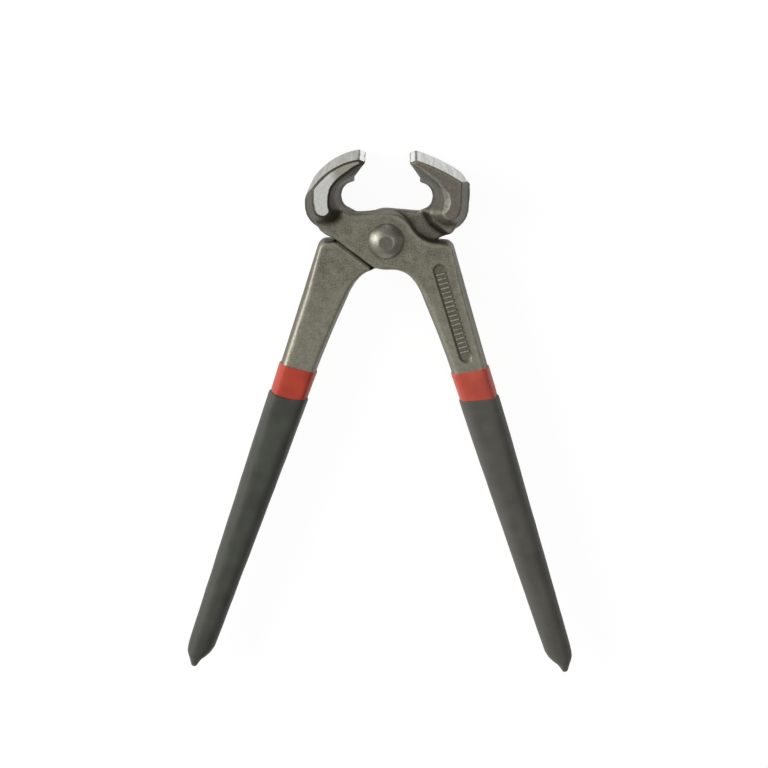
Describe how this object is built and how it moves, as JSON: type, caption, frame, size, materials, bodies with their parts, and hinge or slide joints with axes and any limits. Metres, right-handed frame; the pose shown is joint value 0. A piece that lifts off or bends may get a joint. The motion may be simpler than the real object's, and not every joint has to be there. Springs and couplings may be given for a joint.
{
  "type": "end cutting nippers",
  "caption": "Carpenter's pincers: two forged levers crossing at a riveted lap joint, with curved end cutting jaws and dipped plastic grips.",
  "frame": {"origin": "centre of the bounding box's bottom face, which is the plane of the two lower jaw flats. On a table the tool tips back about 2.3 degrees from there, until the ends of the grips touch", "axes": "+X to the right seen from the front face, +Y from the handles towards the jaws, +Z along the pivot out of the front face"},
  "size_m": [0.1384, 0.1868, 0.023],
  "materials": {
    "forged_steel": "drop forged and shot blasted, oiled; cutting jaws ground bright",
    "rivet_steel": "upset steel rivet with smooth domed heads",
    "red_dip": "satin dipped PVC",
    "dark_dip": "matt dipped PVC"
  },
  "bodies": {
    "front": {"front_lever": "forged_steel", "pivot_rivet": "rivet_steel", "front_under_dip": "red_dip", "front_grip": "dark_dip"},
    "rear": {"rear_lever": "forged_steel", "rear_under_dip": "red_dip", "rear_grip": "dark_dip"}
  },
  "joints": [
    {"name": "pivot", "type": "hinge", "parent": "front", "child": "rear", "pos_m": [0, 0.06396, 0.0115], "axis": [0, 0, 1], "range_deg": [0, 29]}
  ]
}
